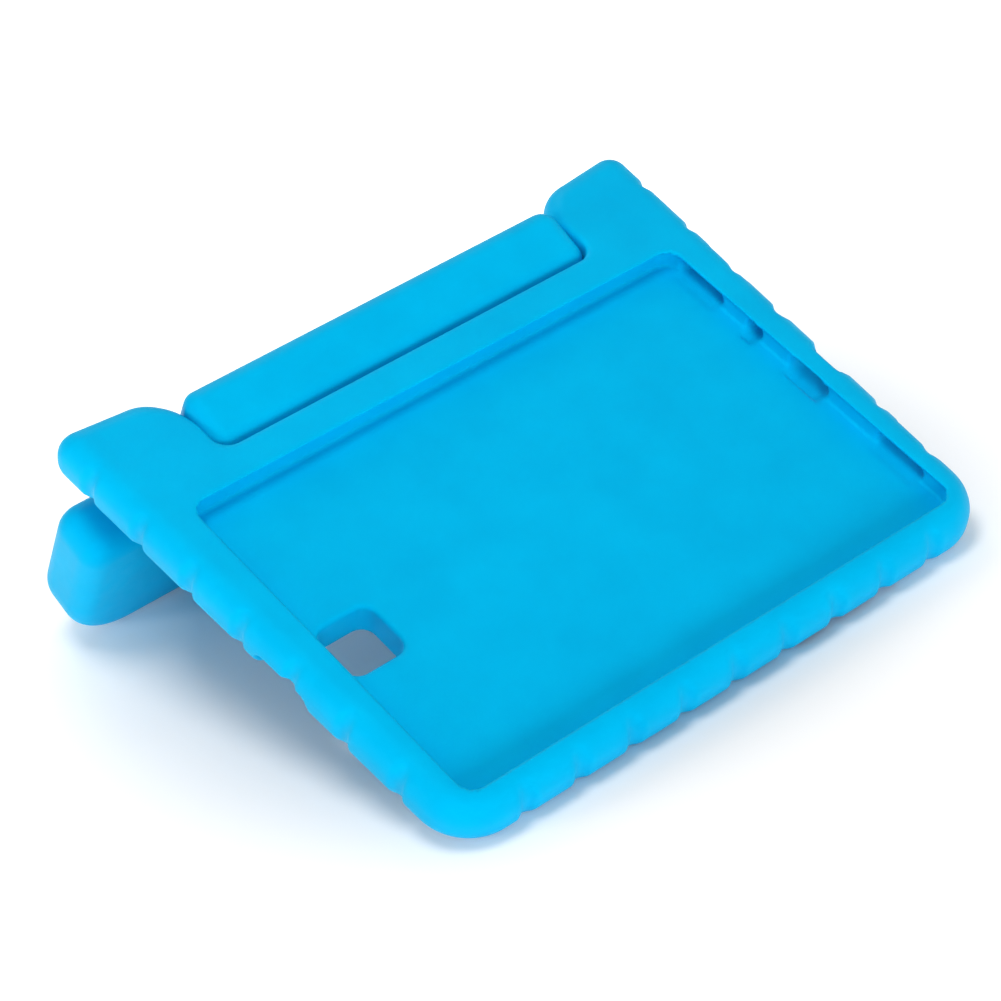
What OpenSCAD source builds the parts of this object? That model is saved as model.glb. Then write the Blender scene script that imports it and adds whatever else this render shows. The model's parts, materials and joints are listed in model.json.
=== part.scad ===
// Soft foam case for a tablet, with a handle that swings under it as a stand.
// The case is drawn flat: X along its long side, +Y towards the handle, its
// rim at z = 0. It is then tipped about X until its near edge and the
// handle's grip both touch the surface at z = 0.

/* [Tablet] */
// Length of the tablet, along X
tablet_l = 242.5; // [240:0.5:246]
// Width of the tablet, along Y
tablet_w = 166.8; // [165:0.2:170]
// Thickness of the tablet
tablet_t = 7.5; // [6:0.1:8]
// Corner radius of the tablet
tablet_r = 8; // [6:1:10]
// Gap between the tablet and the pocket on each side
tablet_gap = 0.4; // [0.2:0.1:0.6]

/* [Case body] */
// Foam beyond the tablet at the middle of each short side
side_border = 15.25; // [14:0.05:17]
// Angle by which each short side flares towards the handle
side_flare = 2.4; // [1:0.1:2.5]
// Foam beyond the tablet at the near long side
near_border = 10.25; // [9:0.05:12]
// Foam between the tablet and the notch for the handle
rear_border = 15; // [13:0.5:16]
// Thickness of the case
case_t = 22; // [21:1:24]
// Plan radius of the two near corners
near_corner_r = 22; // [20:1:30]
// Radius of the soft edges all round
edge_r = 10; // [8:0.5:10]
// How far the lip reaches over the tablet
lip_over = 1; // [0.5:0.1:1.5]
// Thickness of the lip
lip_t = 1.5; // [1:0.1:2]

/* [Ears and notch] */
// How far the two ears reach behind the notch's wall
ear_reach = 43.6; // [42:0.2:44]
// Half the length of the notch between the ears
notch_half = 93; // [92.4:0.1:94]
// Plan radius of the notch's two corners
notch_corner_r = 7.5; // [6:0.5:9]
// Plan radius of the ears' outer corners
ear_outer_r = 10.5; // [10.5:0.5:14]
// Plan radius of the ears' corners towards the handle
ear_inner_r = 16; // [12:1:18]

/* [Scalloped edge] */
// Radius of the grooves between the lobes
groove_r = 6.5; // [5:0.5:9]
// Depth of the grooves
groove_depth = 1.8; // [1:0.1:2.5]
// Spacing of the grooves along the near edge
near_pitch = 25.2; // [24:0.2:26]
// Spacing of the grooves along the short sides
side_pitch = 29.6; // [28:0.2:30]

/* [Handle] */
// Distance of the hinge axis behind the notch's wall
axis_behind = 17.6; // [17.4:0.1:18]
// Thickness of the hinge bar
hub_t = 31; // [28:1:31]
// Thickness of the grip
grip_t = 28; // [26:1:30]
// Half the length of the hinge bar
hub_half = 92; // [90:0.1:92]
// Reach of the hinge bar past the axis, on the side of the rim
hub_back = 13; // [11:0.5:13]
// Half the length of the grip
grip_half = 145.8; // [140:0.2:150]
// Distance from the axis to the grip's inner edge, beside the hinge bar
grip_in = 27.5; // [27.5:0.5:30]
// Distance from the axis to the grip's outer edge
grip_out = 102.5; // [95:0.5:105]
// Plan radius of the hinge bar's corners
hub_corner_r = 9; // [8.5:0.5:10]
// Plan radius of the grip's corners towards the ears
grip_inner_r = 11; // [9.5:0.5:16]
// Plan radius of the grip's outer corners
grip_outer_r = 29; // [14:1:32]
// Radius of the hinge bar's soft edges
hub_edge_r = 8; // [7.5:0.5:8]
// Radius of the grip's soft edges
grip_edge_r = 9; // [7:0.5:9]
// Half the length of the finger opening
slot_half = 58; // [50:1:64]
// Height of the finger opening
slot_h = 34; // [28:1:36]
// Foam between the finger opening and the grip's outer edge
grip_w = 38; // [32:1:44]
// Lean of the handle away from square to the case, in degrees
handle_lean = 13.5; // [8:0.5:16]

/* [Hinge] */
// Radius of the steel rod
rod_r = 3; // [2.5:0.5:4]
// Radial clearance between the rod and the ear sleeves
rod_play = 0.05; // [0.02:0.01:0.08]
// Outer radius of the sleeves and collars
sleeve_r = 5; // [4.5:0.5:5.5]
// Radius of their flanges
flange_r = 6.5; // [6:0.5:6.5]
// Thickness of their flanges
flange_t = 1.5; // [1:0.1:2]
// Depth of the sleeves and collars in the foam
sleeve_l = 21; // [18:1:24]
// Running gap between the friction washers and the handle's collars
washer_gap = 0.3; // [0.3:0.1:0.6]

/* [Openings] */
// Side of the square opening for the rear camera
camera_side = 26; // [22:1:30]
// Distance of the camera opening's middle from the tablet's end
camera_in = 18; // [16:1:22]
// Height of the raised rim round the camera opening
camera_rim_h = 1.5; // [1:0.1:2]
// Width of the charging port's opening
port_w = 22; // [16:1:24]
// Radius of the headphone opening
jack_r = 4.5; // [4:0.5:5]
// Length of each speaker slot
speaker_w = 26; // [20:1:30]

/* [Recesses at the back] */
// Length of the recess in the left wall
left_recess_w = 30; // [24:1:34]
// Height of the recess in the left wall
left_recess_h = 11; // [8:0.5:12]
// Distance of its middle from the tablet's middle, towards the handle
left_recess_y = 5; // [0:1:10]
// Length of the recess in the near wall
near_recess_w = 52; // [44:1:58]
// Height of the recess in the near wall
near_recess_h = 4.5; // [3:0.5:6]
// Distance of its middle from the tablet's middle, to the right
near_recess_x = 59; // [54:1:62]

/* [Hidden] */
$fn = 64;

// Outline of the flat case
mid_half = tablet_l/2 + side_border;
near_y = -tablet_w/2 - near_border;
notch_y = tablet_w/2 + rear_border;
ear_y = notch_y + ear_reach;
mid_z = -case_t/2;

// Pocket
pocket_l = tablet_l + 2*tablet_gap;
pocket_w = tablet_w + 2*tablet_gap;
pocket_d = lip_t + tablet_t + 0.3;
mouth_l = tablet_l - 2*lip_over;
mouth_w = tablet_w - 2*lip_over;
port_z = -lip_t - tablet_t/2 - 1;
cut = 1; // how far a cutting shape runs past a face
left_recess_in = 10; // how deep the two recesses go into their walls
near_recess_in = 7;

// Hinge, in the flat case's frame
axis_y = notch_y + axis_behind;
rod_end = notch_half + sleeve_l - 3;
sleeve_in = 0.6; // depth of the ear sleeves' flanges below the notch's end wall
slot_in = grip_out - grip_w - slot_h; // axis to the finger opening

// Tilt that brings the near edge and the grip down to one level
grip_edge_c = [grip_t/2 - grip_edge_r, grip_out - grip_edge_r];
grip_c = [axis_y + grip_edge_c[1]*sin(handle_lean) - grip_edge_c[0]*cos(handle_lean),
          mid_z - grip_edge_c[1]*cos(handle_lean) - grip_edge_c[0]*sin(handle_lean)];
near_c = [near_y + edge_r, -case_t + edge_r];
span = grip_c - near_c;
tilt = atan2(-span[1], span[0]) + asin((grip_edge_r - edge_r)/norm(span));
lift = edge_r - near_c[0]*sin(tilt) - near_c[1]*cos(tilt);

// Middle of the tilted model, front to back
rim_c = [near_y + edge_r, -edge_r];
heel_c = [axis_y + grip_edge_c[1]*sin(handle_lean) + grip_edge_c[0]*cos(handle_lean),
          mid_z - grip_edge_c[1]*cos(handle_lean) + grip_edge_c[0]*sin(handle_lean)];
front_y = rim_c[0]*cos(tilt) - rim_c[1]*sin(tilt) - edge_r;
back_y = heel_c[0]*cos(tilt) - heel_c[1]*sin(tilt) + grip_edge_r;

// Colours
foam = [0.0, 0.70, 0.90];
foam_lit = [0.0, 0.75, 0.93];
nylon = [0.15, 0.16, 0.18];
steel = [0.75, 0.76, 0.78];
felt = [0.55, 0.55, 0.58];

// Half the width of the flat case at y
function half_at(y) = round(100*(mid_half + y*tan(side_flare)))/100;

// Tips the flat case, and all that is drawn with it, into its standing place
module standing() {
    translate([0, -(front_y + back_y)/2, lift])
        rotate([tilt, 0, 0]) children();
}

// The handle's own frame: origin on the hinge axis, grip towards -Z
module on_handle() {
    translate([0, axis_y, mid_z]) rotate([handle_lean, 0, 0]) children();
}

// Section of a soft edge, its outside at x = 0, its thickness t along y
module edge_section(depth, t, r) {
    translate([-depth, -t/2]) square([depth - r, t]);
    translate([-depth, r - t/2]) square([depth, t - 2*r]);
    for (s = [-1, 1]) translate([-r, s*(t/2 - r)]) circle(r);
}

// Straight soft edge of length len along X, its outside towards +Y
module edge_strip(len, depth, t, r) {
    rotate([90, 0, 90]) linear_extrude(len) edge_section(depth, t, r);
}

// Quarter-round soft corner about the origin, between +X and +Y
module edge_corner(corner_r, t, r) {
    rotate_extrude(angle = 90) intersection() {
        translate([corner_r, 0]) edge_section(corner_r, t, r);
        translate([0, -t]) square([corner_r + cut, 2*t]);
    }
}

// Soft-edged plate about z = 0, from y0 to y1 and half wide on each side of
// the Y axis. Its corners have the plan radius c0 at y0, and c1 at y1.
module soft_plate(y0, c0, y1, c1, half, t, r) {
    right = [[half - c0, y0 + r], [half - r, y0 + c0],
             [half - r, y1 - c1], [half - c1, y1 - r]];
    left = [for (k = [3:-1:0]) [-right[k][0], right[k][1]]];
    depth = r + 0.5;
    translate([0, 0, -t/2]) linear_extrude(t) polygon(concat(right, left));
    translate([c1 - half, y1, 0]) edge_strip(2*(half - c1), depth, t, r);
    translate([half - c0, y0, 0]) rotate([0, 0, 180])
        edge_strip(2*(half - c0), depth, t, r);
    for (s = [0, 1]) mirror([s, 0, 0]) {
        translate([half, y1 - c1, 0]) rotate([0, 0, -90])
            edge_strip(y1 - c1 - y0 - c0, depth, t, r);
        translate([half - c0, y0 + c0, 0]) rotate([0, 0, -90])
            edge_corner(c0, t, r);
        translate([half - c1, y1 - c1, 0]) edge_corner(c1, t, r);
    }
}

// Plan rectangle with round corners, about the origin
module round_rect(lx, ly, r) {
    square([lx, ly - 2*r], center = true);
    square([lx - 2*r, ly], center = true);
    for (sx = [-1, 1], sy = [-1, 1])
        translate([sx*(lx/2 - r), sy*(ly/2 - r)]) circle(r);
}

// Slot of size w by h through an end wall, centred on the X axis
module wall_slot(w, h) {
    rotate([90, 0, 90])
        linear_extrude(side_border + 5) round_rect(w, h, h/2 - 0.01);
}

// Straight round bar from x = x0 to x = x1 on the X axis
module bar_x(r, x0, x1) {
    translate([x0, 0, 0]) rotate([0, 90, 0]) cylinder(r = r, h = x1 - x0);
}

// One pair of lobes, and what is between them, from y0 to y1
module lobes(y0, y1) {
    half = half_at((y0 + y1)/2);
    translate([0, y1, 0]) rotate([90, 0, 0]) linear_extrude(y1 - y0) {
        translate([edge_r - half, -case_t/2]) square([2*(half - edge_r), case_t]);
        for (s = [0, 1]) mirror([s, 0])
            translate([half, 0]) edge_section(edge_r + 0.5, case_t, edge_r);
    }
}

// Foam plate with its ears. Lobe by lobe it gets wider towards the handle.
module body_plate() {
    first = -2*side_pitch;
    last = 4*side_pitch;
    difference() {
        translate([0, 0, mid_z]) {
            soft_plate(near_y, near_corner_r, first + side_pitch, edge_r + 1,
                       half_at(first - side_pitch/2), case_t, edge_r);
            for (k = [-2:3]) lobes(k*side_pitch, (k + 1)*side_pitch);
            intersection() {
                soft_plate(0, edge_r + 1, ear_y, ear_outer_r,
                           half_at((last + ear_y)/2), case_t, edge_r);
                translate([-200, last, -case_t]) cube([400, 100, 2*case_t]);
            }
        }
        translate([0, 0, -case_t - cut]) linear_extrude(case_t + 2*cut)
            notch_outline();
    }
}

// Plan of the notch, with what rounds the ears' corners beside it
module notch_outline() {
    translate([0, (notch_y + ear_y)/2 + cut + notch_corner_r])
        round_rect(2*notch_half, ear_reach + 2*cut + 2*notch_corner_r,
                   notch_corner_r);
    for (s = [0, 1]) mirror([s, 0])
        translate([notch_half, ear_y + 0.4 - ear_inner_r]) difference() {
            translate([-cut, 0]) square([ear_inner_r + cut, ear_inner_r + cut]);
            translate([ear_inner_r, 0]) circle(ear_inner_r);
        }
}

// Grooves that part the outer wall into lobes
module grooves() {
    out = groove_r - groove_depth;
    for (k = [-4:4])
        translate([k*near_pitch, near_y - out, -case_t - cut])
            cylinder(r = groove_r, h = case_t + 2*cut);
    for (s = [-1, 1], k = [-2:4])
        translate([s*(half_at(k*side_pitch) + out), k*side_pitch, -case_t - cut])
            cylinder(r = groove_r, h = case_t + 2*cut);
}

// Pocket for the tablet, with the mouth inside its lip
module pocket() {
    translate([0, 0, -pocket_d])
        linear_extrude(pocket_d - lip_t)
            round_rect(pocket_l, pocket_w, tablet_r + tablet_gap);
    translate([0, 0, -lip_t - cut])
        linear_extrude(lip_t + 2*cut)
            round_rect(mouth_l, mouth_w, tablet_r - lip_over);
}

// Openings in the two end walls
module wall_openings() {
    x0 = pocket_l/2 - cut;
    translate([x0, 0, port_z]) wall_slot(port_w, 10);
    translate([x0, 32, port_z]) wall_slot(2*jack_r, 2*jack_r);
    for (s = [-1, 1])
        translate([x0, 58*s + 6, port_z]) wall_slot(speaker_w, 6);
}

// Recess w by h, open to the back and towards -Y, and deep along +Y
module recess(w, h, deep) {
    rotate([90, 0, 0]) translate([0, 0, -deep]) linear_extrude(deep + 5)
        translate([0, -cut]) round_rect(w, 2*(h + cut), 3);
}

// The two recesses at the back's edge
module recesses() {
    translate([near_recess_x, near_y, -case_t])
        recess(near_recess_w, near_recess_h, near_recess_in);
    translate([-half_at(left_recess_y), left_recess_y, -case_t])
        rotate([0, 0, -90])
            recess(left_recess_w, left_recess_h, left_recess_in);
}

// Place of the rear camera's opening, on the back
module at_camera() {
    translate([camera_in - tablet_l/2, 0, -case_t]) children();
}

// Hollow in each ear for its sleeve, on the hinge axis
module ear_sockets() {
    translate([0, axis_y, mid_z]) for (s = [0, 1]) mirror([s, 0, 0]) {
        bar_x(sleeve_r, notch_half - cut, notch_half + sleeve_l);
        bar_x(flange_r, notch_half - cut, notch_half + sleeve_in + flange_t);
    }
}

module case_body() {
    color(foam) standing() difference() {
        union() {
            body_plate();
            at_camera() translate([0, 0, -camera_rim_h])
                linear_extrude(camera_rim_h + cut)
                    round_rect(camera_side + 8, camera_side + 8, 10);
        }
        grooves();
        pocket();
        at_camera() translate([0, 0, -camera_rim_h - cut])
            linear_extrude(case_t) round_rect(camera_side, camera_side, 6);
        wall_openings();
        recesses();
        ear_sockets();
    }
}

// Hinge bar and grip in one piece, with the finger opening between them
module handle_foam() {
    mid_slot = -(slot_in + slot_h/2);
    color(foam_lit) standing() on_handle() difference() {
        rotate([90, 0, 0]) {
            soft_plate(-slot_in - slot_h, hub_corner_r, hub_back, hub_corner_r,
                       hub_half, hub_t, hub_edge_r);
            soft_plate(-grip_out, grip_outer_r, -grip_in, grip_inner_r,
                       grip_half, grip_t, grip_edge_r);
        }
        translate([0, hub_t/2 + cut, mid_slot]) rotate([90, 0, 0])
            linear_extrude(hub_t + 2*cut)
                round_rect(2*slot_half, slot_h, slot_h/2 - 0.01);
        bar_x(rod_r, -hub_half, hub_half);
        for (s = [0, 1]) mirror([s, 0, 0]) {
            bar_x(sleeve_r, hub_half - sleeve_l, hub_half + cut);
            bar_x(flange_r, hub_half - flange_t, hub_half + cut);
        }
    }
}

// Rod through the hinge bar, its ends in the ear sleeves
module hinge_rod() {
    color(steel) standing() on_handle() bar_x(rod_r, -rod_end, rod_end);
}

// Blind flanged sleeve in an ear
module ear_sleeve() {
    flange_x = notch_half + sleeve_in;
    color(nylon) difference() {
        union() {
            bar_x(sleeve_r, flange_x, notch_half + sleeve_l);
            bar_x(flange_r, flange_x, flange_x + flange_t);
        }
        bar_x(rod_r + rod_play, flange_x - cut, rod_end + 1);
    }
}

// Flanged collar that holds the rod in one end of the hinge bar
module handle_collar() {
    color(nylon) difference() {
        union() {
            bar_x(sleeve_r, hub_half - sleeve_l, hub_half);
            bar_x(flange_r, hub_half - flange_t, hub_half);
        }
        bar_x(rod_r, hub_half - sleeve_l - cut, hub_half + cut);
    }
}

// Washer between a collar and a sleeve, whose rub holds the handle's angle
module friction_washer() {
    color(felt) difference() {
        bar_x(flange_r - 0.5, hub_half + washer_gap, notch_half + sleeve_in);
        bar_x(rod_r + 0.4, hub_half, notch_half + sleeve_in + cut);
    }
}

// One side's hinge part, at the hinge axis: side 0 is right, 1 is left
module at_hinge(side) {
    standing() on_handle() mirror([side, 0, 0]) children();
}

case_body();
handle_foam();
hinge_rod();
at_hinge(1) ear_sleeve();  // ear_sleeve_left
at_hinge(0) ear_sleeve();  // ear_sleeve_right
at_hinge(1) handle_collar();  // handle_collar_left
at_hinge(0) handle_collar();  // handle_collar_right
at_hinge(1) friction_washer();  // friction_washer_left
at_hinge(0) friction_washer();  // friction_washer_right
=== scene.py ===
"""Looks of the foam tablet case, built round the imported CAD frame.

The two foam mouldings are meshed from distance functions, which are written in two flat frames in
millimetres: the case's own, with its rim at z = 0, and the handle's own, with its hinge at u = 0.
"""

import json
import math

import bpy
import numpy as np
from mathutils import Matrix, Vector


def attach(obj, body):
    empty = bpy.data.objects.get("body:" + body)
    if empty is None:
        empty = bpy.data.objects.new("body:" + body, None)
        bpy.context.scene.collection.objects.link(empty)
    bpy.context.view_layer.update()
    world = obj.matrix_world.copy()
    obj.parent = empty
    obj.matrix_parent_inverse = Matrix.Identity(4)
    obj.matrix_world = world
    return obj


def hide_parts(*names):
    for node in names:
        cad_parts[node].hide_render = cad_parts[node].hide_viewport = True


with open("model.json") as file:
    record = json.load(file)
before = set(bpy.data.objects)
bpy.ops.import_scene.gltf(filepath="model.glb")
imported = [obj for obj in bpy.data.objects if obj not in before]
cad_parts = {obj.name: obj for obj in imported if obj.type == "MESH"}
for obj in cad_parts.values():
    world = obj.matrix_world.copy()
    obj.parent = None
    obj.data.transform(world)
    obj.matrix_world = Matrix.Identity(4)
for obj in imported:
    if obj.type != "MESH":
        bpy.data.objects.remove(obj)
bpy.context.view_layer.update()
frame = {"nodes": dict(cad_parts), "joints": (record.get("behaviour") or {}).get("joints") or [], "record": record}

MM = 0.001

# Case body, in the flat case's frame: half widths across X, places along Y, and its rim at z = 0
MID_HALF = 136.5
FLARE = math.tan(math.radians(2.4))
NEAR_Y = -93.65
NOTCH_Y = 98.4
EAR_Y = 141.5
EAR_SLANT = 0.1
EAR_SLANT_X = 120.0
EAR_SLANT_SPAN = (-25.0, 30.0)
CASE_T = 22.0
MID_Z = -CASE_T / 2
NEAR_R = 22.0
EAR_R = 10.0
EAR_INNER_R = 16.0
EDGE_R = 10.0
NOTCH_HALF = 93.0
NOTCH_R = 7.5
NOTCH_EDGE_R = 2.0
NOTCH_SOFTENS = (NOTCH_Y + 14, EAR_Y - 8)
AXIS_Y = 116.0

# Scalloped edge: the grooves are numbered from the middle of each side
NEAR_PITCH = 25.2
NEAR_GROOVES = (-4, 4)
SIDE_PITCH = 29.6
SIDE_GROOVES = (-2, 4)
GROOVE_HALF = 4.6
GROOVE_REACH = 8.0
GROOVE_DEPTH = 1.8

# Pocket, and its narrower mouth inside the lip
POCKET = (121.65, 83.8)
POCKET_R = 8.4
POCKET_EDGE_R = 1.0
POCKET_D = 9.3
MOUTH = (120.25, 82.4)
MOUTH_R = 7.0
LIP_T = 1.5
LIP_EDGE_R = 0.7

# Camera opening, with a low rim at the back
CAMERA_X = -103.25
CAMERA_HALF = 13.0
CAMERA_R = 6.0
CAMERA_EDGE_R = 1.6
CAMERA_RIM = 4.0
CAMERA_RIM_R = 10.0
CAMERA_RIM_H = 1.5
CAMERA_RIM_EDGE_R = 1.2

# Openings in the right wall: place along Y, width and height
CHARGING_HOLE = (0.0, 22.0, 10.0)
HEADPHONE_HOLE = (32.0, 9.0, 9.0)
FAR_SPEAKER_HOLE = (64.0, 26.0, 6.0)
NEAR_SPEAKER_HOLE = (-52.0, 26.0, 6.0)
HOLE_Z = -6.25
HOLE_STARTS = POCKET[0] - 4
HOLE_EDGE_R = 1.2

# Recesses at the back: middle along the wall, half length, height and depth
LEFT_RECESS = (5.0, 15.0, 11.0, 10.0)
NEAR_RECESS = (59.0, 26.0, 4.5, 7.0)
RECESS_R = 5.0

# Handle, in the handle's frame: u away from the hinge, w across its thickness
HUB_HALF = 92.85
HUB_BACK = 13.0
HUB_T = 31.0
HUB_R = 7.0
HUB_EDGE_R = 8.0
GRIP_HALF = 145.8
GRIP_IN = 27.5
GRIP_OUT = 102.5
GRIP_T = 28.0
GRIP_INNER_R = 11.0
GRIP_OUTER_R = 29.0
GRIP_EDGE_R = 9.0
ARM_FILLET = 4.0
SLOT_HALF = 58.0
SLOT_H = 34.0
SLOT_EDGE_R = 5.0
GRIP_BAR = 38.0
SLOT_MID = GRIP_OUT - GRIP_BAR - SLOT_H / 2

# Hinge hollows: the foam of the hinge bar ends just past its collars and hides them
COLLAR_X = 92.0
SLEEVE_R = 5.1
FLANGE_R = 6.6
FLANGE_T = 2.1
SLEEVE_L = 21.0
HOLLOW_EDGE_R = 0.4
HOLLOW_MOUTH = 2.0

# Grids that the mouldings are meshed on: low corner, high corner and cell
CASE_GRID = ((-145, -98, -26), (145, 147, 3), (1.35, 1.35, 0.9))
HANDLE_GRID = ((-150, -16, -18), (150, 106, 18), (1.2, 1.2, 1.0))

# Foam's two shades of blue
FOAM_DEEP = (0.0, 0.43, 0.76)
FOAM_LIGHT = (0.0, 0.47, 0.81)

# Lights, in metres and watts: place, size and power
LIGHTS = {
    "key": ((-0.3, -0.1, 1.6), 0.7, 10.0),
    "front": ((-0.4, -1.6, 0.12), 0.7, 15.0),
    "left": ((-1.6, 0.4, 0.5), 0.4, 5.5),
    "back": ((0.5, 1.2, 1.1), 0.8, 2.6),
}
LIGHTS_AIM = Vector((0, 0, 0.04))


# ---- Distance functions -------------------------------------------------------------------------


def hypot(a, b):
    return np.sqrt(a * a + b * b)


def corner(a, b, r):
    """What is inside both a and b, with a round corner of radius r between them."""
    qa = a + r
    qb = b + r
    return hypot(np.maximum(qa, 0), np.maximum(qb, 0)) + np.minimum(np.maximum(qa, qb), 0) - r


def rect(x, y, half_x, half_y, r):
    """Rectangle with round corners, about the origin."""
    return corner(np.abs(x) - half_x, np.abs(y) - half_y, r)


def stadium(x, y, half_x, half_y):
    """Round-ended slot, about the origin."""
    return rect(x, y, half_x, half_y, half_y - 0.01)


def slab(plan, z, half_t, r):
    """Plan outline given a thickness, with soft edges of radius r."""
    return corner(plan, np.abs(z) - half_t, r)


def join(a, b, r):
    """Union with a fillet of radius r."""
    u = hypot(np.maximum(r - a, 0), np.maximum(r - b, 0))
    return np.maximum(r, np.minimum(a, b)) - u


def cut(a, b, r):
    """a less b, with the new edges rounded to radius r."""
    u = hypot(np.maximum(r + a, 0), np.maximum(r - b, 0))
    return np.minimum(-r, np.maximum(a, -b)) + u


def ramp(v, low, high):
    """0 below low, 1 above high, smooth between."""
    t = np.clip((v - low) / (high - low), 0, 1)
    return t * t * (3 - 2 * t)


def scallop(along, inside, pitch, first, last):
    """How deep a row of grooves is, at a place along an edge and a depth inside it."""
    k = np.clip(np.round(along / pitch), first, last)
    across = (along - k * pitch) / GROOVE_HALF
    reach = np.maximum(inside, 0) / GROOVE_REACH
    return GROOVE_DEPTH * (1 - ramp(hypot(across, reach), 0.25, 1.0))


def hinge_hollow(into, radial):
    """Stepped hole for a flanged sleeve; into is the depth behind the face it opens in."""
    outside = -into - HOLLOW_MOUTH
    sleeve = np.maximum(radial - SLEEVE_R, np.maximum(outside, into - SLEEVE_L))
    flange = np.maximum(radial - FLANGE_R, np.maximum(outside, into - FLANGE_T))
    return np.minimum(sleeve, flange)


def outer_plan(x, y):
    """Outline of the case, wider towards the ears, with its scallops and no notch."""
    side = np.abs(x) - MID_HALF - FLARE * y
    far = y - EAR_Y - EAR_SLANT * np.clip(np.abs(x) - EAR_SLANT_X, *EAR_SLANT_SPAN)
    outline = np.maximum(corner(side, NEAR_Y - y, NEAR_R), corner(side, far, EAR_R))
    outline = outline + scallop(x, y - NEAR_Y, NEAR_PITCH, *NEAR_GROOVES)
    return outline + scallop(y, -side, SIDE_PITCH, *SIDE_GROOVES)


def recess(along, inside, z, middle, half, height, deep):
    """Shallow recess in a wall, open at the back."""
    front = rect(along - middle, z + CASE_T, half, height, min(height - 0.5, RECESS_R))
    return np.maximum(front, inside - deep)


def wall_hole(x, y, z, place, width, height):
    """Round-ended hole through the right wall."""
    return np.maximum(stadium(y - place, z - HOLE_Z, width / 2, height / 2), HOLE_STARTS - x)


def case_distance(x, y, z):
    """Case body. Its ears' tips are as soft as its rim, and the notch's wall is sharper."""
    outline = outer_plan(x, y)
    notch = rect(x, y - NOTCH_Y - 2 * EAR_Y, NOTCH_HALF, 2 * EAR_Y, NOTCH_R)
    notched = cut(outline, notch, EAR_INNER_R)
    edge_r = NOTCH_EDGE_R + (EDGE_R - NOTCH_EDGE_R) * ramp(y, *NOTCH_SOFTENS)
    body = np.maximum(slab(outline, z - MID_Z, CASE_T / 2, EDGE_R),
                      slab(notched, z - MID_Z, CASE_T / 2, edge_r))
    rim_half = CAMERA_HALF + CAMERA_RIM
    rim = slab(rect(x - CAMERA_X, y, rim_half, rim_half, CAMERA_RIM_R), z + CASE_T,
               CAMERA_RIM_H, CAMERA_RIM_EDGE_R)
    body = join(body, rim, CAMERA_RIM_EDGE_R)
    pocket_half = (POCKET_D - LIP_T) / 2
    pocket = slab(rect(x, y, *POCKET, POCKET_R), z + LIP_T + pocket_half, pocket_half,
                  POCKET_EDGE_R)
    mouth = np.maximum(rect(x, y, *MOUTH, MOUTH_R), -z - 2 * LIP_T)
    body = cut(body, np.minimum(pocket, mouth), LIP_EDGE_R)
    camera = rect(x - CAMERA_X, y, CAMERA_HALF, CAMERA_HALF, CAMERA_R)
    body = cut(body, camera, CAMERA_EDGE_R)
    for hole in (
        wall_hole(x, y, z, *CHARGING_HOLE),
        wall_hole(x, y, z, *HEADPHONE_HOLE),
        wall_hole(x, y, z, *FAR_SPEAKER_HOLE),
        wall_hole(x, y, z, *NEAR_SPEAKER_HOLE),
        recess(y, x + MID_HALF + FLARE * y, z, *LEFT_RECESS),
        recess(x, y - NEAR_Y, z, *NEAR_RECESS),
    ):
        body = cut(body, hole, HOLE_EDGE_R)
    socket = hinge_hollow(np.abs(x) - NOTCH_HALF, hypot(y - AXIS_Y, z - MID_Z))
    return cut(body, socket, HOLLOW_EDGE_R)


def handle_distance(x, u, w):
    """Handle: the hinge bar, the wide grip, and the finger opening through both."""
    hub_mid = (SLOT_MID - HUB_BACK) / 2
    hub = rect(x, u - hub_mid, HUB_HALF, SLOT_MID - hub_mid, HUB_R)
    grip_mid = (GRIP_IN + GRIP_OUT) / 2
    grip_r = np.where(u < grip_mid, GRIP_INNER_R, GRIP_OUTER_R)
    grip = rect(x, u - grip_mid, GRIP_HALF, (GRIP_OUT - GRIP_IN) / 2, grip_r)
    foam = join(slab(hub, w, HUB_T / 2, HUB_EDGE_R), slab(grip, w, GRIP_T / 2, GRIP_EDGE_R),
                ARM_FILLET)
    foam = cut(foam, stadium(x, u - SLOT_MID, SLOT_HALF, SLOT_H / 2), SLOT_EDGE_R)
    hollow = hinge_hollow(COLLAR_X - np.abs(x), hypot(u, w))
    return cut(foam, hollow, HOLLOW_EDGE_R)


# ---- Meshing ------------------------------------------------------------------------------------


def gradient(distance, points, step=0.05):
    """Slope of a distance function at some points, from a small step each way."""
    columns = []
    for axis in range(3):
        offset = np.zeros(3)
        offset[axis] = step
        ahead = distance(*(points + offset).T)
        behind = distance(*(points - offset).T)
        columns.append((ahead - behind) / (2 * step))
    return np.stack(columns, axis=1)


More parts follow.
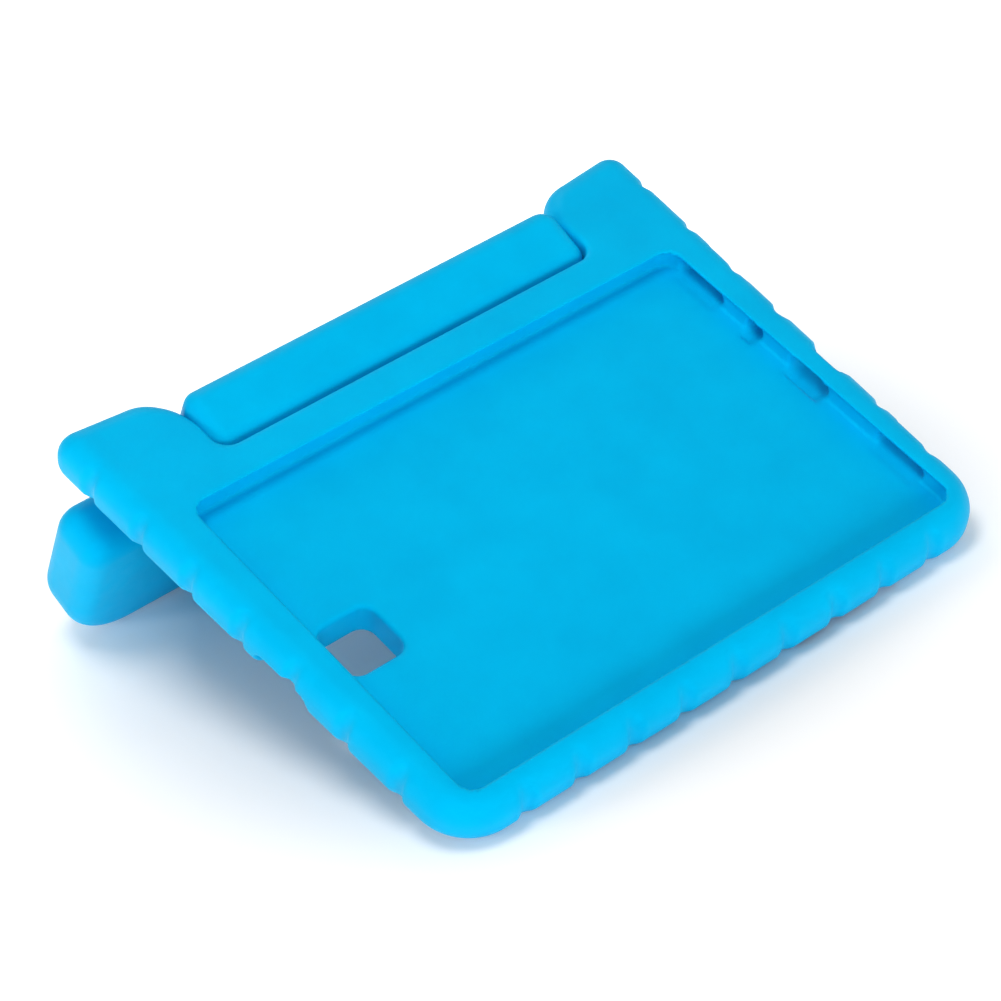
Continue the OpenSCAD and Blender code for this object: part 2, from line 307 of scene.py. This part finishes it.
def surface_net(distance, low, high, step):
    """Quads round the zero level of a distance function, one vertex to a grid cell."""
    axes = [np.arange(a, b + s, s) for a, b, s in zip(low, high, step)]
    x, y, z = np.meshgrid(*axes, indexing="ij", sparse=True)
    value = distance(x, y, z)
    inside = value < 0
    cells = tuple(n - 1 for n in value.shape)
    total = np.zeros(cells + (3,), dtype=np.float32)
    count = np.zeros(cells, dtype=np.int16)
    for axis in range(3):
        others = [a for a in range(3) if a != axis]
        for i in (0, 1):
            for j in (0, 1):
                near, far = [None] * 3, [None] * 3
                near[axis], far[axis] = slice(0, -1), slice(1, None)
                for other, k in zip(others, (i, j)):
                    near[other] = far[other] = slice(k, k + cells[other])
                a, b = value[tuple(near)], value[tuple(far)]
                crosses = inside[tuple(near)] != inside[tuple(far)]
                share = np.where(crosses, a / np.where(crosses, a - b, 1), 0)
                count += crosses
                total[..., axis] += share
                for other, k in zip(others, (i, j)):
                    total[..., other] += k * crosses
    used = count > 0
    index = np.full(cells, -1)
    index[used] = np.arange(np.count_nonzero(used))
    corner = np.stack(np.nonzero(used), axis=1)
    points = (corner + total[used] / count[used][:, None]) * np.array(step) + np.array(low)
    quads = []
    for axis in range(3):
        one, two = [a for a in range(3) if a != axis]
        near, far = [slice(1, -1)] * 3, [slice(1, -1)] * 3
        near[axis], far[axis] = slice(0, -1), slice(1, None)
        leaves = inside[tuple(near)] & ~inside[tuple(far)]
        enters = ~inside[tuple(near)] & inside[tuple(far)]
        ring = []
        for i, j in ((0, 0), (1, 0), (1, 1), (0, 1)):
            place = [None] * 3
            place[axis] = slice(None)
            place[one] = slice(i, i + cells[one] - 1)
            place[two] = slice(j, j + cells[two] - 1)
            ring.append(index[tuple(place)])
        ring = np.stack(ring, axis=-1)
        forward, backward = (leaves, enters) if axis != 1 else (enters, leaves)
        quads.append(ring[forward])
        quads.append(ring[backward][:, ::-1])
    return points, np.concatenate(quads)


def settle(distance, points, quads, rounds=3, ease=0.5, longest=0.5):
    """Evens the vertices out along the surface and puts them on it.

    Each round takes them a share of the way to their neighbours' mean, given by ease, and then
    back to the surface in two moves of at most the longest one allowed.
    """
    for _ in range(rounds):
        total = np.zeros_like(points)
        count = np.zeros(len(points))
        for k in range(4):
            a, b = quads[:, k], quads[:, (k + 1) % 4]
            for p, q in ((a, b), (b, a)):
                np.add.at(total, p, points[q])
                np.add.at(count, p, 1)
        slope = gradient(distance, points)
        normal = slope / np.maximum(np.linalg.norm(slope, axis=1), 1e-6)[:, None]
        pull = total / count[:, None] - points
        pull -= normal * np.sum(pull * normal, axis=1)[:, None]
        points = points + ease * pull
        for _ in range(2):
            slope = gradient(distance, points)
            size = np.maximum(np.sum(slope * slope, axis=1), 0.1)
            move = np.clip(distance(*points.T) / size, -longest, longest)
            points = points - slope * move[:, None]
    return points


def foam_piece(name, distance, low, high, step, place):
    """Meshed foam moulding, put in the row frame by the matrix place."""
    points, quads = surface_net(distance, low, high, step)
    points = settle(distance, points, quads)
    mesh = bpy.data.meshes.new(name)
    mesh.from_pydata((points * MM).tolist(), [], quads.tolist())
    mesh.validate()
    mesh.transform(place)
    mesh.shade_smooth()
    piece = bpy.data.objects.new(name, mesh)
    bpy.context.scene.collection.objects.link(piece)
    return piece


def mount(name):
    """Mount of this name in the record."""
    return next(m for m in frame["record"]["mounts"] if m["name"] == name)


def placed(origin, x, y, z):
    """Matrix of a frame with this origin and these axes."""
    rows = Matrix((x, y, z)).transposed().to_4x4()
    rows.translation = origin
    return rows


def case_frame():
    """Where the flat case's frame is in the row frame, from the pocket floor's mount."""
    pocket = mount("pocket_floor")
    up = Vector(pocket["axis"])
    across = Vector((1, 0, 0))
    origin = Vector(pocket["pos_m"]) + up * POCKET_D * MM
    return placed(origin, across, up.cross(across), up)


def handle_frame():
    """Where the handle's frame is in the row frame, from the hinge and the grip's mount."""
    away = Vector(mount("grip_base")["axis"])
    across = Vector((1, 0, 0))
    hinge = Vector(frame["joints"][0]["pos_m"])
    return placed(hinge, across, away, across.cross(away))


# ---- Materials ----------------------------------------------------------------------------------


def new_material(name):
    """New material, with its node tree and its shader."""
    material = bpy.data.materials.new(name)
    material.use_nodes = True
    return material, material.node_tree, material.node_tree.nodes["Principled BSDF"]


def node(tree, kind, **values):
    """New node, with these values on its sockets or else on itself."""
    made = tree.nodes.new(kind)
    for key, value in values.items():
        if key in made.inputs:
            made.inputs[key].default_value = value
        else:
            setattr(made, key, value)
    return made


def noise(tree, coords, scale, detail=2.0):
    """Fractal noise at these coordinates."""
    made = node(tree, "ShaderNodeTexNoise", Scale=scale, Detail=detail)
    tree.links.new(coords, made.inputs["Vector"])
    return made.outputs["Fac"]


def mapped(tree, value, low, high, start=0.0, end=1.0):
    """Value from start to end, spread over low to high and held there beyond them."""
    made = node(tree, "ShaderNodeMapRange")
    made.inputs["From Min"].default_value = start
    made.inputs["From Max"].default_value = end
    made.inputs["To Min"].default_value = low
    made.inputs["To Max"].default_value = high
    tree.links.new(value, made.inputs["Value"])
    return made.outputs["Result"]


def two_tone(tree, value, low, high, start=0.0, end=1.0):
    """Colour that goes from low to high as the value goes from start to end."""
    made = tree.nodes.new("ShaderNodeValToRGB")
    for element, place, colour in zip(made.color_ramp.elements, (start, end), (low, high)):
        element.position = place
        element.color = (*colour, 1)
    tree.links.new(value, made.inputs["Fac"])
    return made.outputs["Color"]


def bump(tree, height, strength, distance, under=None):
    """Normal bent by a height, on top of the normal given as under."""
    made = node(tree, "ShaderNodeBump", Strength=strength, Distance=distance)
    tree.links.new(height, made.inputs["Height"])
    if under is not None:
        tree.links.new(under, made.inputs["Normal"])
    return made.outputs["Normal"]


def foam_material(name):
    """Closed-cell foam with a moulded skin: fine grain, slow mottling and a soft shine."""
    material, tree, shader = new_material(name)
    coords = tree.nodes.new("ShaderNodeTexCoord").outputs["Object"]
    mottle = noise(tree, coords, scale=38.0, detail=3.0)
    colour = two_tone(tree, mottle, FOAM_DEEP, FOAM_LIGHT, start=0.3, end=0.7)
    tree.links.new(colour, shader.inputs["Base Color"])
    sheen = mapped(tree, noise(tree, coords, scale=220.0), low=0.36, high=0.50)
    tree.links.new(sheen, shader.inputs["Roughness"])
    swell = bump(tree, noise(tree, coords, scale=60.0), strength=0.25, distance=0.0012)
    grain = bump(tree, noise(tree, coords, scale=1500.0, detail=3.0), strength=0.22,
                 distance=0.0003, under=swell)
    tree.links.new(grain, shader.inputs["Normal"])
    shader.inputs["Specular IOR Level"].default_value = 0.08
    shader.inputs["Specular Tint"].default_value = (0.0, 0.7, 1.0, 1)
    shader.inputs["Subsurface Weight"].default_value = 0.12
    shader.inputs["Subsurface Radius"].default_value = (0.4, 1.0, 1.4)
    shader.inputs["Subsurface Scale"].default_value = 0.002
    return material


def plain_material(name, colour, rough, metallic=0.0, grain=900.0, depth=0.15):
    """Small hard part or felt: one colour that varies a little, with a fine grain."""
    material, tree, shader = new_material(name)
    coords = tree.nodes.new("ShaderNodeTexCoord").outputs["Object"]
    shade = two_tone(tree, noise(tree, coords, scale=300.0), [c * 0.85 for c in colour],
                     [min(c * 1.15, 1) for c in colour])
    tree.links.new(shade, shader.inputs["Base Color"])
    fine = noise(tree, coords, scale=grain, detail=3.0)
    sheen = mapped(tree, fine, low=rough - 0.06, high=rough + 0.06)
    tree.links.new(sheen, shader.inputs["Roughness"])
    tree.links.new(bump(tree, fine, depth, distance=0.0002), shader.inputs["Normal"])
    shader.inputs["Metallic"].default_value = metallic
    return material


def dress_nodes():
    """Gives each CAD node that stays in view its material."""
    steel = plain_material("rod_steel", (0.55, 0.56, 0.58), rough=0.3, metallic=1.0)
    nylon = plain_material("nylon", (0.03, 0.032, 0.036), rough=0.45)
    felt = plain_material("felt", (0.22, 0.22, 0.24), rough=0.9, grain=2500.0, depth=0.8)
    wear = {"hinge_rod": steel}
    for side in ("left", "right"):
        wear["ear_sleeve_" + side] = nylon
        wear["handle_collar_" + side] = nylon
        wear["friction_washer_" + side] = felt
    for name, material in wear.items():
        mesh_object = frame["nodes"][name]
        mesh_object.data.materials.clear()
        mesh_object.data.materials.append(material)


# ---- Studio -------------------------------------------------------------------------------------


def make_camera():
    """Camera at the photograph's angle: azimuth, elevation and roll in degrees."""
    azimuth, elevation, roll = map(math.radians, (-32.994, 30.457, 11.338))
    target = Vector((-0.00964, -0.01068, 0.04435))
    distance = 1.27638
    back = Vector((math.sin(azimuth) * math.cos(elevation),
                   -math.cos(azimuth) * math.cos(elevation),
                   math.sin(elevation)))
    data = bpy.data.cameras.new("camera")
    data.sensor_width = 36.0
    data.lens = 119.04
    data.clip_start = 0.05
    camera = bpy.data.objects.new("camera", data)
    bpy.context.scene.collection.objects.link(camera)
    turn = (-back).to_track_quat("-Z", "Y").to_matrix() @ Matrix.Rotation(-roll, 3, "Z")
    camera.matrix_world = Matrix.Translation(target + back * distance) @ turn.to_4x4()
    bpy.context.scene.camera = camera


def area_light(name, place, size, power):
    """White disk of light, aimed at the case."""
    data = bpy.data.lights.new(name, "AREA")
    data.shape = "DISK"
    data.size = size
    data.energy = power
    light = bpy.data.objects.new(name, data)
    light.location = place
    aim = LIGHTS_AIM - Vector(place)
    light.rotation_mode = "QUATERNION"
    light.rotation_quaternion = aim.to_track_quat("-Z", "Y")
    bpy.context.scene.collection.objects.link(light)


def make_studio():
    """Pale floor that glows away from the case, an even white sky, and the lights."""
    floor_mesh = bpy.data.meshes.new("floor")
    half = 6.0
    corners = [(-half, -half, 0), (half, -half, 0), (half, half, 0), (-half, half, 0)]
    floor_mesh.from_pydata(corners, [], [(0, 1, 2, 3)])
    floor = bpy.data.objects.new("floor", floor_mesh)
    bpy.context.scene.collection.objects.link(floor)
    material, tree, shader = new_material("floor")
    shader.inputs["Base Color"].default_value = (0.9, 0.9, 0.9, 1)
    shader.inputs["Roughness"].default_value = 0.9
    shader.inputs["Specular IOR Level"].default_value = 0.1
    shader.inputs["Emission Color"].default_value = (1, 1, 1, 1)
    nearness = node(tree, "ShaderNodeTexGradient", gradient_type="SPHERICAL")
    tree.links.new(tree.nodes.new("ShaderNodeTexCoord").outputs["Object"],
                   nearness.inputs["Vector"])
    glow = mapped(tree, nearness.outputs["Fac"], low=0.8, high=0.0, start=0.68, end=0.87)
    tree.links.new(glow, shader.inputs["Emission Strength"])
    floor_mesh.materials.append(material)
    world = bpy.data.worlds.new("world")
    world.use_nodes = True
    world.node_tree.nodes["Background"].inputs["Color"].default_value = (1, 1, 1, 1)
    world.node_tree.nodes["Background"].inputs["Strength"].default_value = 0.4
    bpy.context.scene.world = world
    for name, (place, size, power) in LIGHTS.items():
        area_light(name, place, size, power)
    bpy.context.scene.view_settings.view_transform = "Standard"


make_camera()
make_studio()

case_foam = foam_piece("case_foam", case_distance, *CASE_GRID, case_frame())
handle_foam = foam_piece("handle_foam_skin", handle_distance, *HANDLE_GRID, handle_frame())
foam_blue = foam_material("foam_blue")
for piece, body, cad_node in ((case_foam, "case", "case_body"),
                              (handle_foam, "handle", "handle_foam")):
    piece.data.materials.append(foam_blue)
    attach(piece, body)
    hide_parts(cad_node)
dress_nodes()
